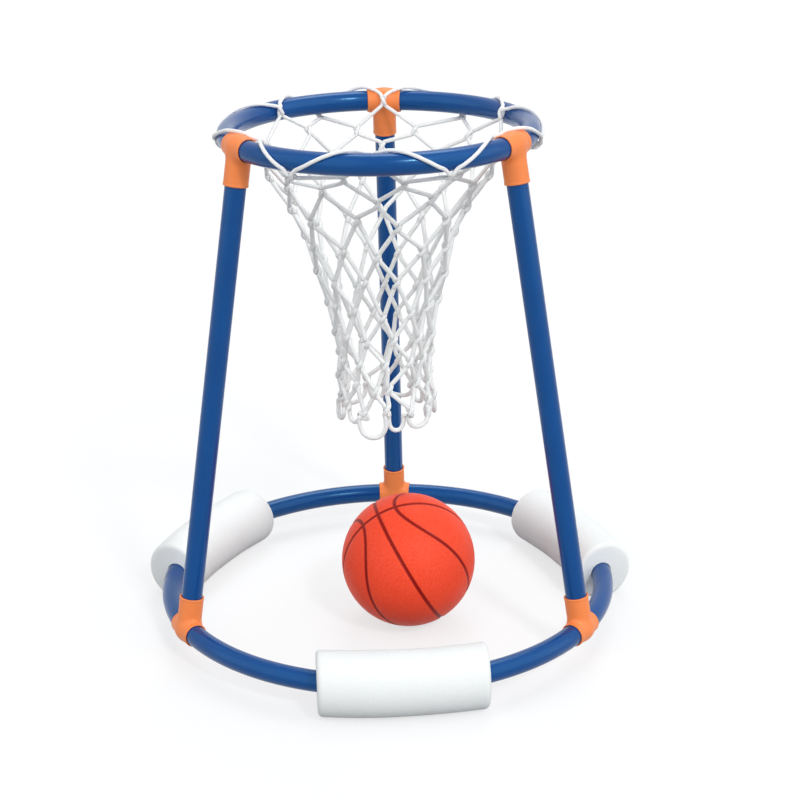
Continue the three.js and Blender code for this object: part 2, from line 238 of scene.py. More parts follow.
# Its Specular Tint gives every reflection the painted pale sky-blue tint.
shader = add_node(tree, "BsdfPrincipled", {
    "Base Color": blue.outputs[2], "Roughness": dulling.outputs["Result"],
    "Normal": relief.outputs["Normal"], "IOR": 1.53, "Specular Tint": painted_sky_reflection_tint})
add_node(tree, "OutputMaterial", {"Surface": shader.outputs["BSDF"]})


def add_ring_tubes(prefix, radius, height, steps):
    """The three bent tubes of a ring, each from stop to stop inside the tees at its ends."""
    half = radius * math.pi / 3 - ring_stop / 2 - fit_gap
    along, reach = sleeve_profile(half, tube_radius, tube_bore, tube_edge, steps)
    for side, angle in tube_angles.items():
        line = ring_line(radius, height, math.radians(angle))
        tube = add_sleeve(f"{prefix}_{side}_pipe", line, along, reach, tube_sides, pvc)
        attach(tube, "frame")
        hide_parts(f"{prefix}_{side}")


add_ring_tubes("rim_tube", rim_radius, rim_height, steps=72)

# Legs: three straight lengths of the same tube, splayed outwards. Each is pushed into the
# socket of a rim tee at its top and of a base tee at its foot, and held by its fit.
base_radius = 295 * mm
base_height = 41.5 * mm
leg_stop = 20 * mm
tee_angles = {"back": 90, "left": 210, "right": 330}
leg_span = math.hypot(base_radius - rim_radius, rim_height - base_height)
leg_tilt = math.atan2(base_radius - rim_radius, rim_height - base_height)


def leg_line(angle):
    """The middle line of a leg, as a function of the distance s up from its middle.

    It gives the place, middle + s times the way up, the way the leg faces, and its side."""
    out = np.array([math.cos(angle), math.sin(angle), 0])
    side = np.array([-math.sin(angle), math.cos(angle), 0])
    upward = math.cos(leg_tilt) * np.array([0, 0, 1]) - math.sin(leg_tilt) * out
    facing = math.cos(leg_tilt) * out + math.sin(leg_tilt) * np.array([0, 0, 1])
    middle = (rim_radius + base_radius) / 2 * out
    middle = middle + [0, ring_axis, (rim_height + base_height) / 2]

    def line(s):
        shape = (len(s), 3)
        place = middle + s[:, None] * upward
        return place, np.broadcast_to(facing, shape), np.broadcast_to(side, shape)
    return line


half_leg = leg_span / 2 - leg_stop - fit_gap
leg_along, leg_reach = sleeve_profile(half_leg, tube_radius, tube_bore, tube_edge, steps=40)
for side, angle in tee_angles.items():
    line = leg_line(math.radians(angle))
    leg = add_sleeve(f"leg_{side}_pipe", line, leg_along, leg_reach, tube_sides, pvc)
    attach(leg, "frame")
    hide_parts(f"leg_{side}")

# Base ring: three longer bent tubes of the same kind, 590 mm across, which lie half a float's
# height above the floor.
add_ring_tubes("base_tube", base_radius, base_height, steps=96)

# Tees: six orange polypropylene fittings, injection moulded. A barrel takes the two ring tubes
# and a socket takes the leg, their joint is blended, and a low lip stiffens the leg's mouth.
tee_radius = 15.6 * mm
barrel_half = 23 * mm
socket_reach = 46.5 * mm
socket_bore = tube_radius + fit_gap
lip_height = 0.4 * mm
lip_length = 3 * mm
joint_blend = 7 * mm
edge_blend = 1.2 * mm
lip_blend = 0.8 * mm
tee_step = 0.8 * mm
tee_margin = 4 * mm
slide_passes = 4
least_slope = 0.25


def blend(a, b, width):
    """The smooth minimum of two distances: where they differ by less than width it is lower than
    both, by (1 - |a - b| / width) squared times a quarter of the width."""
    near = np.maximum(1 - np.abs(a - b) / width, 0)
    return np.minimum(a, b) - near ** 2 * width / 4


def tee_distance(points, ring_radius, upward):
    """How far points lie outside a tee whose middle is at the origin, with +X away from the axis.

    The barrel is a pipe about the ring, at the distance s along it. The socket is a pipe about
    the leg, at the distance t from the ring. Their outsides are blended with a wide smooth
    minimum, the ends are cut square with small round edges, and the bores are taken away."""
    x, y, z = np.moveaxis(points, -1, 0)
    s = ring_radius * np.arctan2(y, ring_radius + x)
    from_ring = np.hypot(np.hypot(ring_radius + x, y) - ring_radius, z)
    sign = 1 if upward else -1
    way = sign * np.array([-math.sin(leg_tilt), 0, math.cos(leg_tilt)])
    t = points @ way
    from_leg = np.linalg.norm(points - np.maximum(t, 0)[..., None] * way, axis=-1)
    barrel = -blend(tee_radius - from_ring, barrel_half - np.abs(s), edge_blend)
    socket = -blend(tee_radius - from_leg, socket_reach - t, edge_blend)
    lip = -blend(tee_radius + lip_height - from_leg, socket_reach - t, edge_blend)
    lip = -blend(-lip, t - socket_reach + lip_length, lip_blend)
    outside = np.minimum(blend(barrel, socket, joint_blend), lip)
    ring_hole = from_ring - np.where(np.abs(s) < ring_stop / 2, tube_bore, socket_bore)
    leg_hole = from_leg - np.where(t < leg_stop, tube_bore, socket_bore)
    return -blend(-outside, np.minimum(ring_hole, leg_hole), lip_blend)


def walk_surface(distance, low, high, step):
    """The zero level of a distance as points and four-sided faces, by surface nets.

    The distance is sampled on a lattice. Each cell that the level passes through gets a point,
    at the mean of the places where the level crosses the cell's edges, and each crossed edge
    gets a face, which joins the points of the four cells round it. The points then slide down
    the distance's slope, in a few passes, until they lie on the level."""
    axes = [np.arange(a, b, step) for a, b in zip(low, high)]
    lattice = np.stack(np.meshgrid(*axes, indexing="ij"), axis=-1)
    value = distance(lattice)
    cells = tuple(length - 1 for length in value.shape)
    total = np.zeros((*cells, 3))
    count = np.zeros(cells, dtype=int)
    crossings = []
    for axis in range(3):
        before = np.moveaxis(value, axis, 0)[:-1]
        after = np.moveaxis(value, axis, 0)[1:]
        crossed = (before < 0) != (after < 0)
        share = np.where(crossed, before / np.where(crossed, before - after, 1), 0)
        place = np.moveaxis(lattice, axis, 0)[:-1] + share[..., None] * step * np.eye(3)[axis]
        sums = np.moveaxis(total, axis, 0)
        counts = np.moveaxis(count, axis, 0)
        for i in (0, 1):
            for j in (0, 1):
                part = (slice(None), slice(i, crossed.shape[1] - 1 + i),
                        slice(j, crossed.shape[2] - 1 + j))
                sums += place[part] * crossed[part][..., None]
                counts += crossed[part]
        crossings.append((axis, crossed, before < 0))
    number = np.cumsum(count.ravel() > 0).reshape(cells) - 1
    points = total[count > 0] / count[count > 0][:, None]
    faces = []
    for axis, crossed, inside_first in crossings:
        numbers = np.moveaxis(number, axis, 0)
        here = crossed[:, 1:-1, 1:-1]
        around = [numbers[:, :-1, :-1], numbers[:, 1:, :-1], numbers[:, 1:, 1:],
                  numbers[:, :-1, 1:]]
        square = np.stack([part[here] for part in around], axis=-1)
        turned = inside_first[:, 1:-1, 1:-1][here] == (axis != 1)
        faces.append(np.where(turned[:, None], square, square[:, ::-1]))
    reach = step / 4
    for _ in range(slide_passes):
        slope = np.stack([distance(points + reach * way) - distance(points - reach * way)
                          for way in np.eye(3)], axis=-1) / (2 * reach)
        steep = np.maximum(np.sum(slope ** 2, axis=-1), least_slope)
        move = np.clip(distance(points) / steep, -reach, reach)
        points = points - move[:, None] * slope
    return points, np.concatenate(faces)


# Polypropylene, injection moulded in a spark-eroded mould: a satin skin with a fine even grain,
# drawn twice as coarse as it is so that it shows, and faint flow marks in the colour.
pp_orange = linear("FF914D")
pp_orange_flow = linear("FC8944")
mould_grain = 0.7 * mm
flow_size = 18 * mm

pp, tree = new_material("orange_polypropylene_moulded")
place = add_node(tree, "TexCoord")
grain = add_node(tree, "TexNoise", {
    "Vector": place.outputs["Object"], "Scale": 1 / mould_grain, "Detail": 3,
    "Roughness": 0.6})
flow = add_node(tree, "TexNoise", {
    "Vector": place.outputs["Object"], "Scale": 1 / flow_size, "Detail": 2,
    "Distortion": 1.5})
orange = add_node(tree, "Mix", {
    0: flow.outputs["Fac"], 6: pp_orange_flow, 7: pp_orange}, data_type="RGBA")
satin = add_node(tree, "MapRange", {
    "Value": flow.outputs["Fac"], "From Min": 0.3, "From Max": 0.7,
    "To Min": 0.38, "To Max": 0.5})
relief = add_node(tree, "Bump", {
    "Height": grain.outputs["Fac"], "Distance": 0.05 * mm, "Strength": 0.7})
shader = add_node(tree, "BsdfPrincipled", {
    "Base Color": orange.outputs[2], "Roughness": satin.outputs["Result"],
    "Normal": relief.outputs["Normal"], "IOR": 1.49})
add_node(tree, "OutputMaterial", {"Surface": shader.outputs["BSDF"]})


def add_tees(prefix, ring_radius, height, upward):
    """The three tees of a ring: one is worked out at the origin and turned to each leg."""
    width = barrel_half + tee_radius
    low = np.array([-width, -width, -tee_radius - tee_margin])
    high = np.array([width, width, socket_reach + tee_margin])
    if not upward:
        low[2], high[2] = -high[2], -low[2]
    points, faces = walk_surface(
        lambda at: tee_distance(at, ring_radius, upward), low, high, tee_step)
    for side, angle in tee_angles.items():
        turn = np.array(Matrix.Rotation(math.radians(angle), 3, "Z"))
        placed = (points + [ring_radius, 0, height]) @ turn.T + [0, ring_axis, 0]
        tee = add_object(f"{prefix}_{side}_moulding", placed, faces, pp)
        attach(tee, "frame")
        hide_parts(f"{prefix}_{side}")


add_tees("rim_tee", rim_radius, rim_height, upward=False)
add_tees("base_tee", base_radius, base_height, upward=True)

# Floats: three sleeves of white polyethylene foam, extruded as a thick pipe, cut to length and
# threaded on the base tubes, where they can slide between two tees. The foam is the stiffer of
# the two, so a sleeve bends less than its tube does, and its middle lies inside the ring's line.
float_radius = 41.5 * mm
float_bore = 14.2 * mm
float_half = 106 * mm
float_edge = 6 * mm
float_inset = 5 * mm
float_bend_share = 0.5
float_sides = 160
float_steps = 90
float_wave = 0.35 * mm
float_phase = 2.1
float_angles = {"front": 275.7, "right": 24.5, "left": 155.5}

# The pale blue-grey in the pits between the foam's cells is painted shade.
foam_white = linear("FAFCFC")
foam_pit_shade = linear("EEF4F5")
foam_cell = 1.6 * mm
foam_dent = 22 * mm

foam, tree = new_material("white_polyethylene_foam")
place = add_node(tree, "TexCoord")
cells = add_node(tree, "TexVoronoi", {
    "Vector": place.outputs["Object"], "Scale": 1 / foam_cell}, feature="SMOOTH_F1")
dents = add_node(tree, "TexNoise", {
    "Vector": place.outputs["Object"], "Scale": 1 / foam_dent, "Detail": 4})
# Painted shade: the pits between the cells take the pale blue-grey, the cells' middles the white.
white = add_node(tree, "Mix", {
    0: cells.outputs["Distance"], 6: foam_white, 7: foam_pit_shade}, data_type="RGBA")
pitted = add_node(tree, "Bump", {
    "Height": cells.outputs["Distance"], "Distance": 0.3 * mm, "Strength": 0.5},
    invert=True)
relief = add_node(tree, "Bump", {
    "Height": dents.outputs["Fac"], "Distance": 1.2 * mm, "Strength": 0.4,
    "Normal": pitted.outputs["Normal"]})
shader = add_node(tree, "BsdfPrincipled", {
    "Base Color": white.outputs[2], "Roughness": 0.85, "IOR": 1.45,
    "Normal": relief.outputs["Normal"], "Subsurface Weight": 0.12,
    "Subsurface Radius": (1, 1, 1), "Subsurface Scale": 3 * mm})
add_node(tree, "OutputMaterial", {"Surface": shader.outputs["BSDF"]})


def add_float(side, angle, phase):
    """A foam sleeve whose sections all stand square to its chord, x out and z up in each.

    At the distance y along the chord, the bore's middle is on the ring, at the square root of
    R^2 - y^2, and it is wider across by R over that. The outer face's middle is further in by
    the inset and bends by a share as much. Its radius swells by a slow and a quick wave, each
    a sine along the chord times a sine around it."""
    along, reach = sleeve_profile(float_half, float_radius - float_wave, float_bore,
                                  float_edge, float_steps)
    y, r = along[:, None], reach[:, None]
    turn = np.linspace(0, 2 * math.pi, float_sides, endpoint=False)[None, :]
    run = y / float_half
    slow = np.sin(4 * run + phase) * np.sin(2 * turn + phase)
    quick = np.sin(9 * run - phase) * np.sin(3 * turn + 2 * phase)
    outer = np.clip((r - float_bore) / (float_radius - float_edge - float_bore), 0, 1)
    on_ring = np.sqrt(base_radius ** 2 - y ** 2)
    outer_middle = base_radius - float_inset - float_bend_share * (base_radius - on_ring)
    middle = outer * outer_middle + (1 - outer) * on_ring
    stretch = outer + (1 - outer) * base_radius / on_ring
    swollen = r + float_wave * (0.6 * slow + 0.4 * quick) * outer
    x = middle + swollen * np.cos(turn) * stretch
    z = base_height + swollen * np.sin(turn)
    grid = np.stack([x * math.cos(angle) - y * math.sin(angle),
                     x * math.sin(angle) + y * math.cos(angle) + ring_axis, z], axis=-1)
    around = np.linspace(0, 2 * math.pi * float_radius, float_sides + 1)
    sleeve = add_surface(f"float_{side}_foam", grid, np.append(along, along[0]), around, foam)
    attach(sleeve, f"{side}_float")
    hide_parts(f"float_{side}")


for number, (side, angle) in enumerate(float_angles.items()):
    add_float(side, math.radians(angle), phase=float_phase * number)

# Net: twelve endless cords of white twisted polyester. Each runs up through the mesh, over the
# rim and down again, and a loop at the hem joins its ends. Where two cords meet they are twisted
# half a turn about each other, and the top row of twists holds the net on the rim.
net_loops = 12
mesh_angle = 2 * math.pi / net_loops
net_drop = 400 * mm
row_drop_share = [0.076, 0.141, 0.234, 0.338, 0.448, 0.553, 0.65, 0.735, 0.815, 0.89]
row_reach_share = [0.8, 0.716, 0.606, 0.512, 0.434, 0.375, 0.34, 0.318, 0.31, 0.32]
hem_share = np.array([
    [-0.82, 0.28], [-0.8, 0.6], [-0.52, 0.9], [0, 1], [0.52, 0.9], [0.8, 0.6], [0.82, 0.28]])
hem_half_share = {"wide": 0.66, "narrow": 0.4}
hem_step = 3 * mm
hem_drop = 24 * mm
pulled_loop = 8
pulled_drop = 36 * mm
rim_slip = np.radians([-5, -5, -3, 0, -4, -9, 0, 7, 1.2, 0, -3.2, -5.6])
slip_rows = 4
inner_face = math.radians(10)
outer_face = math.radians(245)
cord_radius = 2.45 * mm
cord_swell_share = 0.24
cord_swell_drop = 90 * mm
net_lean = 3 * mm
knot_half = 6.5 * mm
knot_turn = math.pi
knot_steps = 6
over_steps = 12
lay_length = 12 * mm
lay_depth_share = 0.04
lay_strands = 3
cord_sides = 12
cord_steps = 3
last_row = len(row_drop_share)
row_height = rim_height - net_drop * np.array([0, *row_drop_share])
row_reach = rim_radius * np.array([1, *row_reach_share])

# The net hangs a little unevenly: how far each knot lies beside its place, more so lower down,
# out from it and below it, and how low each loop of the hem hangs. One in front is pulled down.
aside_spread = 2.4 * mm
outward_spread = 1.8 * mm
lower_spread = 2.4 * mm
hem_spread = 2 * mm
looseness_at_rim = 0.6
looseness_at_hem = 2.0
knot_shape = (last_row + 1, 2 * net_loops)
uneven = np.random.default_rng(11)
looser = np.linspace(looseness_at_rim, looseness_at_hem, last_row + 1)[:, None]
knot_aside = looser * uneven.normal(0, aside_spread, knot_shape)
knot_outward = uneven.normal(0, outward_spread, knot_shape)
knot_lower = uneven.normal(0, lower_spread, knot_shape)
hem_fall = hem_drop + uneven.normal(0, hem_spread, net_loops)
hem_fall[pulled_loop] = pulled_drop


def polar(angle, reach, height):
    """Points by the angle about the hoop's axis, the reach from it and the height."""
    angle, reach, height = np.broadcast_arrays(angle, reach, height)
    return np.stack([reach * np.cos(angle), reach * np.sin(angle), height], axis=-1)


def cord_reach(height):
    """The cord's radius by its height: down from the rim's middle it grows by a share of itself,
    evenly over the swell's drop, and keeps that size below."""
    share = np.clip((rim_height - height) / cord_swell_drop, 0, 1)
    return cord_radius * (1 + cord_swell_share * share)


def column_angle(column, row=0):
    """A column's angle about the hoop's axis. On the rim the twists have slipped along the tube,
    and the rows below follow them less and less."""
    slip = np.interp(column % net_loops, np.arange(net_loops + 1), [*rim_slip, rim_slip[0]])
    return column * mesh_angle + slip * np.clip(1 - row / slip_rows, 0, 1)


def rim_lift(angle):
    """How far a cord's middle lies from the ring's middle line: on the tube, or on the barrel
    of a tee near the tee, with a smooth step 3 t^2 - 2 t^3 between."""
    nearest = np.min([np.abs((angle - math.radians(at) + math.pi) % (2 * math.pi) - math.pi)
                      for at in tee_angles.values()], axis=0)
    past = (nearest * rim_radius - barrel_half - cord_radius) / barrel_half
    t = np.clip(1 - past, 0, 1)
    on_tube = tube_radius + cord_radius + fit_gap
    return on_tube + (tee_radius - tube_radius) * t ** 2 * (3 - 2 * t)


def over_rim(angle, face, extra=0.0):
    """A place round the ring's tube, and the way out from the tube there.

    face turns from the tube's side towards the hoop's axis, over its top, to its far side."""
    lift = rim_lift(angle) + extra
    way = polar(angle, -np.cos(face), np.sin(face))
    return polar(angle, rim_radius, rim_height) + lift[..., None] * way, way


def knot_frame(row, column):
    """A knot's place, and the ways along the net's rows, out of the net and down the net.

    It is the place of its row and column, moved by the net's lean and its own unevenness. A knot
    of the first row lies against the rim instead, on its inner and its outer side in turn."""
    angle = column_angle(column, row)
    half_column = np.rint(2 * column).astype(int) % (2 * net_loops)
    east = polar(angle + math.pi / 2, 1.0, 0.0)
    above, below = np.maximum(row - 1, 0), np.minimum(row + 1, last_row)
    down = polar(angle, row_reach[below] - row_reach[above], row_height[below] - row_height[above])
    down /= np.linalg.norm(down, axis=-1, keepdims=True)
    out = np.cross(east, down)
    out *= np.sign(np.sum(out * polar(angle, 1.0, 0.0), axis=-1, keepdims=True))
    hang = polar(angle, row_reach[row], row_height[row] - knot_lower[row, half_column])
    hang[..., 0] += net_lean * row / last_row
    hang = hang + knot_aside[row, half_column][..., None] * east
    hang = hang + knot_outward[row, half_column][..., None] * out
    inner = half_column % 4 == 2
    face = np.where(inner, inner_face, outer_face)
    tied, tied_out = over_rim(angle, face, extra=cord_radius)
    tied_down = np.where(inner, -1, 1)[..., None] * polar(angle, np.sin(face), np.cos(face))
    on_rim = (row == 0)[..., None]
    return (np.where(on_rim, tied, hang), east, np.where(on_rim, tied_out, out),
            np.where(on_rim, tied_down, down))


def knot_twist(place, east, out, down, side):
    """A cord's way down through a knot: half of a double helix, from one side to the other.

    At the share t from -1 to 1 the cord is at t * knot_half down the knot, and lies a cord's
    radius from its middle at an angle that gains half a turn. The other cord starts on the
    other side, so that the two lie against each other all the way."""
    t = np.linspace(-1, 1, knot_steps + 1)[:, None]
    start = math.pi if side > 0 else 0
    angle = start + knot_turn * (t + 1) / 2
    offset = np.cos(angle) * east[..., None, :] + np.sin(angle) * out[..., None, :]
    reach = cord_reach(place[..., 2])[..., None, None]
    return place[..., None, :] + t * knot_half * down[..., None, :] + reach * offset


def descend(start, side):
    """The places of a cord from the rim down to the last row, and the ways out of the net.

    It moves half a mesh to one side with each row, and two places lie between two knots."""
    row = np.arange(last_row + 1)
    place, east, out, down = knot_frame(row, start + side * row / 2)
    twist = knot_twist(place, east, out, down, side)
    share = np.array([1 / 3, 2 / 3])[:, None]
    leg = twist[:-1, -1, None] * (1 - share) + twist[1:, 0, None] * share
    leg_out = out[:-1, None] * (1 - share) + out[1:, None] * share
    outs = np.broadcast_to(out[:, None], twist.shape)
    places = np.concatenate([twist[:-1], leg], axis=1).reshape(-1, 3)
    ways = np.concatenate([outs[:-1], leg_out], axis=1).reshape(-1, 3)
    return np.concatenate([places, twist[-1]]), np.concatenate([ways, outs[-1]])


def hem_loop(column, side):
    """The places of a loop at the hem, from a knot of the last row to the next on one side.

    The loops are in turn wide, a step outside the net, and narrow, a step inside it, so that
    neighbours pass each other."""
    number = int(column + (side - 1) / 2) % net_loops
    kind, step = (("wide", hem_step), ("narrow", -hem_step))[number % 2]
    angle = (column + side * (0.5 + hem_half_share[kind] * hem_share[:, 0])) * mesh_angle
    way = polar(angle, 1.0, 0.0)
    height = row_height[-1] - hem_fall[number] * hem_share[:, 1]
    place = polar(angle, row_reach[-1] + step, height)
    return place + [net_lean, 0, 0], way


def endless_cord(inner, side):
    """The places along one cord of the net, from its hem up, over the rim, down and round.

    Over the rim it goes from a knot on the inner face to one on the outer face, and half a knot
    at each end takes up a part of the turn."""
    up, up_out = (part[::-1] for part in descend(inner, -side))
    down, down_out = descend(inner + side, side)
    half_knot = knot_half / (tube_radius + 2 * cord_radius)
    share = np.linspace(0, 1, over_steps + 1)[1:-1]
    angle = column_angle(inner + side * share)
    face = (1 - share) * (inner_face + half_knot) + share * (outer_face - half_knot)
    over, over_out = over_rim(angle, face)
    hem, hem_out = hem_loop(inner + side + side * last_row / 2, side)
    return (np.concatenate([up, over, down, hem]),
            np.concatenate([up_out, over_out, down_out, hem_out]))


def through(values, steps):
    """A smooth closed curve through the rows of an array, by the Catmull-Rom formula: between b
    and c, with a before and d after them, the curve at the share t is b plus t / 2 times
    (c - a) + t (2a - 5b + 4c - d) + t^2 (3b - a - 3c + d)."""
    a, b, c, d = (np.roll(values, shift, axis=0)[:, None] for shift in (1, 0, -1, -2))
    t = (np.arange(steps) / steps)[None, :, None]
    curve = (c - a) + t * (2 * a - 5 * b + 4 * c - d) + t ** 2 * (3 * b - a - 3 * c + d)
    return (b + t / 2 * curve).reshape(-1, 3)


def unit(vectors):
    """Vectors of length one."""
    return vectors / np.linalg.norm(vectors, axis=-1, keepdims=True)


def cord_surface(places, outs):
    """A twisted cord about a closed line: place(s) + r (cos(a) n(s) + sin(a) b(s)).

    n is the way out, square to the line, and b is square to both. r is the cord's radius,
    higher on each strand of the lay: it follows cos(strands (a - 2 pi s / lay length))."""
    line = through(places, cord_steps)
    forward = unit(np.roll(line, -1, axis=0) - np.roll(line, 1, axis=0))
    outs = through(outs, cord_steps)
    normal = unit(outs - np.sum(outs * forward, axis=-1, keepdims=True) * forward)
    across = np.cross(forward, normal)
    length = np.linalg.norm(np.roll(line, -1, axis=0) - line, axis=-1)
    s = np.concatenate([[0], np.cumsum(length)])
    turns = np.round(s[-1] / lay_length)
    angle = np.linspace(0, 2 * math.pi, cord_sides, endpoint=False)[None, :]
    lay = np.cos(lay_strands * (angle - 2 * math.pi * turns * s[:-1, None] / s[-1]))
    radius = 1 - lay_depth_share + lay_depth_share * lay
    radius = (cord_reach(line[:, 2])[:, None] * radius)[..., None]
    ring = np.cos(angle)[..., None] * normal[:, None] + np.sin(angle)[..., None] * across[:, None]
    return line[:, None] + radius * ring, lay, s


# Polyester cord, twisted from three strands of bright filament: a soft sheen on the crowns, a
# little grey painted shade in the grooves between them, filaments that run round with the lay, and
# some light that passes through, so that the shaded side stays bright.
cord_white = linear("FBFCFA")
# The grey in the grooves between the cord's strands is painted shade.
cord_groove_shade = linear("ECF2F2")
filament = 0.5 * mm

cord, tree = new_material("white_polyester_cord")
lay_height = add_node(tree, "Attribute", attribute_name="lay")
surface_map = add_node(tree, "UVMap", uv_map="surface")
laid = add_node(tree, "Mapping", {
    "Vector": surface_map.outputs["UV"], "Rotation": (0, 0, math.radians(-40)),
    "Scale": (1 / filament, 0.15 / filament, 1)})
filaments = add_node(tree, "TexNoise", {
    "Vector": laid.outputs["Vector"], "Scale": 1, "Detail": 1})
# Painted shade: the share of clean white, full on the crowns of the strands and nought in the
# grooves.
crown_unshaded_share = add_node(tree, "MapRange", {
    "Value": lay_height.outputs["Fac"], "From Min": -1, "From Max": 0.2})
white = add_node(tree, "Mix", {
    0: crown_unshaded_share.outputs["Result"], 6: cord_groove_shade, 7: cord_white}, data_type="RGBA")
relief = add_node(tree, "Bump", {
    "Height": filaments.outputs["Fac"], "Distance": 0.12 * mm, "Strength": 0.6})
shader = add_node(tree, "BsdfPrincipled", {
    "Base Color": white.outputs[2], "Roughness": 0.7, "IOR": 1.55,
    "Normal": relief.outputs["Normal"], "Sheen Weight": 0.25, "Sheen Roughness": 0.4,
    "Subsurface Weight": 0.8, "Subsurface Radius": (1, 1, 1), "Subsurface Scale": 4 * mm})
add_node(tree, "OutputMaterial", {"Surface": shader.outputs["BSDF"]})

cord_points, cord_lays, cord_maps = [], [], []
for inner in range(1, net_loops, 2):
    for side in (-1, 1):
        places, outs = endless_cord(inner, side)
        surface, lay, s = cord_surface(places, outs)
        cord_points.append(surface + [0, ring_axis, 0])
        cord_lays.append(lay)
        cord_maps.append(s)
rings = cord_points[0].shape[0]
faces = np.concatenate([grid_faces(rings, cord_sides) + i * rings * cord_sides
                        for i in range(net_loops)])
net = add_object("net_cords", np.concatenate(cord_points).reshape(-1, 3), faces, cord)
which, within = np.divmod(corner_points(net.data), rings * cord_sides)
row, column = np.divmod(within, cord_sides)
run = np.stack(cord_maps)[which.reshape(-1, 4), past_seam(row, rings)]
round_cord = past_seam(column, cord_sides) * 2 * math.pi * cord_radius / cord_sides
flat = np.stack([run, round_cord], axis=-1)
net.data.uv_layers.new(name="surface").data.foreach_set("uv", flat.ravel())
lay_attribute = net.data.attributes.new("lay", "FLOAT", "POINT")
lay_attribute.data.foreach_set("value", np.concatenate(cord_lays).ravel())
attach(net, "frame")
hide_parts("net")

# Ball: a size 3 ball of orange rubber, moulded with a pebbled skin between sunk seams that are
# painted dark red. It lies loose between the legs, and air holds its thin shell out.
ball_middle = np.array([30 * mm, -30 * mm, 89.5 * mm])
ball_radius = 89.5 * mm
ball_cells = 126
seam_half = 3.9 * mm
seam_depth = 0.9 * mm
side_seam_middle = math.radians(57.1)
side_seam_swing = math.radians(15)
side_seam_bulge = math.radians(1.85)
least_sine = 0.1
paint_gain = 2.2
paint_start = 0.25
ball_side = unit(np.array([-0.865, -0.145, -0.480]))
ball_cross = unit(np.cross(ball_side, [-0.433, -0.268, 0.861]))
ball_pole = np.cross(ball_cross, ball_side)


def cube_sphere(cells):
    """A unit sphere from the six faces of a cube, each a grid with even angles: a point at the
    angles a and b from a face's middle points along (tan(a), tan(b), 1)."""
    tangent = np.tan(np.linspace(-math.pi / 4, math.pi / 4, cells + 1))
    a, b = np.meshgrid(tangent, tangent, indexing="ij")
    face = np.stack([a, b, np.ones_like(a)], axis=-1)
    sides = [sign * np.roll(face, turn, axis=-1) for turn in range(3) for sign in (1, -1)]
    points = unit(np.stack(sides).reshape(-1, 3))
    row, column = np.meshgrid(np.arange(cells), np.arange(cells), indexing="ij")
    first = row * (cells + 1) + column
    square = np.stack([first, first + cells + 1, first + cells + 2, first + 1], axis=-1)
    square = square.reshape(-1, 4)
    faces = [(square if i % 2 == 0 else square[:, ::-1]) + i * (cells + 1) ** 2
             for i in range(6)]
    _, kept, renamed = np.unique(np.round(points, 6), axis=0, return_index=True,
                                 return_inverse=True)
    return points[kept], renamed.ravel()[np.concatenate(faces)]


def seam_distance(ways):
    """The distance over the ball from each way out of its middle to the nearest seam.

    Two seams are great circles, square to the ball's side axis and to its cross axis. The
    other two go round the ends of the side axis, at an angle from it that swings twice in a
    turn: middle + swing cos(2 turn) + bulge cos(4 turn)."""
    aside, up, cross = ways @ ball_side, ways @ ball_pole, ways @ ball_cross
    turn = np.arctan2(cross, up)
    away = np.arccos(np.clip(np.abs(aside), 0, 1))
    off = away - side_seam_middle - side_seam_swing * np.cos(2 * turn)
    off = off - side_seam_bulge * np.cos(4 * turn)
    slant = 2 * side_seam_swing * np.sin(2 * turn) + 4 * side_seam_bulge * np.sin(4 * turn)
    slant = slant / np.maximum(np.sin(away), least_sine)
    side_seam = np.abs(off) / np.hypot(1, slant)
    great = np.arcsin(np.clip(np.minimum(np.abs(aside), np.abs(cross)), 0, 1))
    return ball_radius * np.minimum(great, side_seam)


# Rubber, compression moulded: a dull orange skin with pebbles 2.4 mm apart, which fade out at
# the seams, painted shade that makes it a little darker between the pebbles, dark red paint in the
# seams, and patches that are rubbed a little shinier.
rubber_orange = linear("FF5638")
# The darker orange between the pebbles is painted shade.
rubber_orange_pebble_shade = linear("FA4A2C")
rubber_seam = linear("8E1006")
pebble = 2.4 * mm
rubbed_patch = 20 * mm

rubber, tree = new_material("orange_rubber_moulded")
place = add_node(tree, "TexCoord")
seam = add_node(tree, "Attribute", attribute_name="seam")
pebbles = add_node(tree, "TexVoronoi", {
    "Vector": place.outputs["Object"], "Scale": 1 / pebble, "Randomness": 0.75})
rubbed = add_node(tree, "TexNoise", {
    "Vector": place.outputs["Object"], "Scale": 1 / rubbed_patch, "Detail": 5})
# Painted shade: the share of the darker orange, nought near each pebble's middle and full between
# them.
low = add_node(tree, "MapRange", {
    "Value": pebbles.outputs["Distance"], "From Min": 0.3, "From Max": 0.75})
skin = add_node(tree, "Mix", {
    0: low.outputs["Result"], 6: rubber_orange, 7: rubber_orange_pebble_shade}, data_type="RGBA")
painted = add_node(tree, "Mix", {
    0: seam.outputs["Fac"], 6: skin.outputs[2], 7: rubber_seam}, data_type="RGBA")
fading = add_node(tree, "MapRange", {
    "Value": seam.outputs["Fac"], "To Min": 0.8, "To Max": 0})
dull = add_node(tree, "MapRange", {
    "Value": rubbed.outputs["Fac"], "From Min": 0.3, "From Max": 0.7,
    "To Min": 0.42, "To Max": 0.52})
relief = add_node(tree, "Bump", {
    "Height": pebbles.outputs["Distance"], "Distance": 0.25 * mm,
    "Strength": fading.outputs["Result"]}, invert=True)
shader = add_node(tree, "BsdfPrincipled", {
    "Base Color": painted.outputs[2], "Roughness": dull.outputs["Result"], "IOR": 1.52,
    "Normal": relief.outputs["Normal"], "Specular IOR Level": 0.15})
add_node(tree, "OutputMaterial", {"Surface": shader.outputs["BSDF"]})

ways, faces = cube_sphere(ball_cells)
beside = np.clip(seam_distance(ways) / seam_half, 0, 1)
groove = (1 + np.cos(math.pi * beside)) / 2
points = ball_middle + ways * (ball_radius - seam_depth * groove)[:, None]
ball = add_object("ball_skin", points, faces, rubber)
seam_attribute = ball.data.attributes.new("seam", "FLOAT", "POINT")
seam_attribute.data.foreach_set("value", np.clip(paint_gain * groove - paint_start, 0, 1))
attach(ball, "ball")
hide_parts("ball")

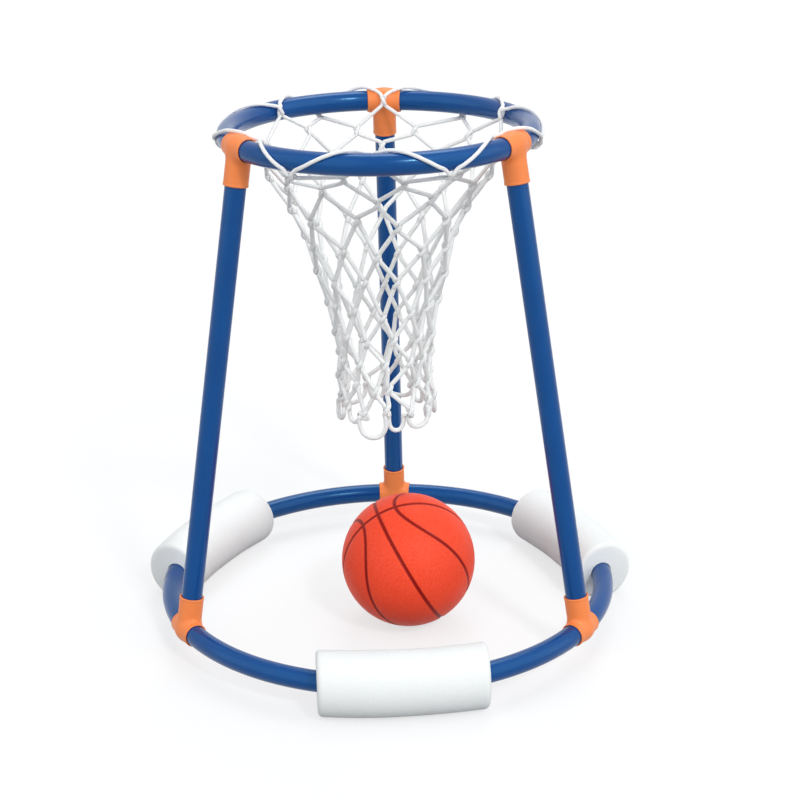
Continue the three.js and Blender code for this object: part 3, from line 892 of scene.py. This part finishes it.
# Valve: a black rubber plug in the ball's shell, with a hole for the pump's needle, on the side
# that faces away from the camera. Its face lies just under the skin, which runs on over it.
valve_radius = 3.5 * mm
valve_recess = 0.6 * mm
valve_depth = 6 * mm
valve_edge = 0.7 * mm
needle_radius = 0.9 * mm
needle_depth = 2.5 * mm
valve_lift = math.radians(90 / 7)
valve_sides = 48
valve_edge_steps = 5
closing_radius = 1e-7
rubber_black = linear("2A2624")
bloom_size = 2 * mm

black_rubber, tree = new_material("black_rubber_moulded")
place = add_node(tree, "TexCoord")
bloom = add_node(tree, "TexNoise", {
    "Vector": place.outputs["Object"], "Scale": 1 / bloom_size, "Detail": 4})
dull = add_node(tree, "MapRange", {
    "Value": bloom.outputs["Fac"], "To Min": 0.55, "To Max": 0.75})
shader = add_node(tree, "BsdfPrincipled", {
    "Base Color": rubber_black, "Roughness": dull.outputs["Result"], "IOR": 1.52})
add_node(tree, "OutputMaterial", {"Surface": shader.outputs["BSDF"]})


def valve_line(s):
    """The valve's axis, out of the ball's middle towards the back and a little up, as a function
    of the distance s from there: the place, middle + s times the way out, and two ways aside."""
    way = np.array([0, math.cos(valve_lift), math.sin(valve_lift)])
    side = np.broadcast_to([1.0, 0.0, 0.0], (len(s), 3))
    other = np.broadcast_to(np.cross(way, side[0]), side.shape)
    return ball_middle + s[:, None] * way, side, other


turn = np.linspace(0, math.pi / 2, valve_edge_steps + 1)
face = ball_radius - valve_recess
low_end = face - valve_depth
valve_along = np.concatenate([
    [low_end, low_end], face - valve_edge + valve_edge * np.sin(turn),
    [face, face - needle_depth, face - needle_depth]])
valve_reach = np.concatenate([
    [closing_radius, valve_radius], valve_radius - valve_edge + valve_edge * np.cos(turn),
    [needle_radius, needle_radius, closing_radius]])
valve = add_sleeve("ball_valve_plug", valve_line, valve_along, valve_reach, valve_sides,
                   black_rubber)
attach(valve, "ball")
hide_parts("ball_valve")

# Floor, light and background: a pale floor under four soft suns and an even sky. The open floor
# looks white, because it adds a glow that only the camera and reflections see.
floor_half = 12.0
floor_tone = linear("9A9C9E")
floor_glow = 0.67
sky_light = 0.43
sky_seen = 1.0
full_white = (1, 1, 1, 1)


def seen_directly(tree):
    """One where a camera, glossy or transmission ray looks at this surface, and nought else."""
    rays = add_node(tree, "LightPath").outputs
    either = add_node(tree, "Math", {0: rays["Is Camera Ray"], 1: rays["Is Glossy Ray"]},
                      operation="MAXIMUM")
    return add_node(tree, "Math", {0: either.outputs[0], 1: rays["Is Transmission Ray"]},
                    operation="MAXIMUM").outputs[0]


floor_mesh = bpy.data.meshes.new("floor")
floor_mesh.from_pydata(
    [(x * floor_half, y * floor_half, 0) for x, y in ((-1, -1), (1, -1), (1, 1), (-1, 1))],
    [], [(0, 1, 2, 3)])
floor = bpy.data.objects.new("floor", floor_mesh)
bpy.context.scene.collection.objects.link(floor)

pale, tree = new_material("pale_floor")
matt = add_node(tree, "BsdfDiffuse", {"Color": floor_tone})
lift = add_node(tree, "Math", {0: seen_directly(tree), 1: floor_glow}, operation="MULTIPLY")
glow = add_node(tree, "Emission", {"Color": full_white, "Strength": lift.outputs[0]})
both = add_node(tree, "AddShader", {0: matt.outputs[0], 1: glow.outputs[0]})
add_node(tree, "OutputMaterial", {"Surface": both.outputs[0]})
floor_mesh.materials.append(pale)


def add_sun(name, heading, height, share, spread):
    """A soft sun, by its heading from the front to the right, its height and its spread, in
    degrees. A white face turned to it returns the share of full white, at pi times the share."""
    lamp = bpy.data.lights.new(name, "SUN")
    lamp.energy = math.pi * share
    lamp.angle = math.radians(spread)
    made = bpy.data.objects.new(name, lamp)
    made.matrix_world = (Matrix.Rotation(math.radians(heading), 4, "Z")
                         @ Matrix.Rotation(math.radians(90 - height), 4, "X"))
    bpy.context.scene.collection.objects.link(made)


add_sun("key_sun", heading=30, height=42, share=0.26, spread=8)
add_sun("right_sun", heading=60, height=24, share=0.36, spread=80)
add_sun("left_sun", heading=-50, height=24, share=0.29, spread=80)
add_sun("back_sun", heading=172, height=60, share=0.23, spread=30)

world = bpy.data.worlds.new("studio")
world.use_nodes = True
tree = world.node_tree
tree.nodes.clear()
strength = add_node(tree, "MapRange", {
    "Value": seen_directly(tree), "To Min": sky_light, "To Max": sky_seen})
sky = add_node(tree, "Background", {
    "Color": full_white, "Strength": strength.outputs["Result"]})
add_node(tree, "OutputWorld", {"Surface": sky.outputs[0]})
bpy.context.scene.world = world
bpy.context.scene.view_settings.view_transform = "Standard"
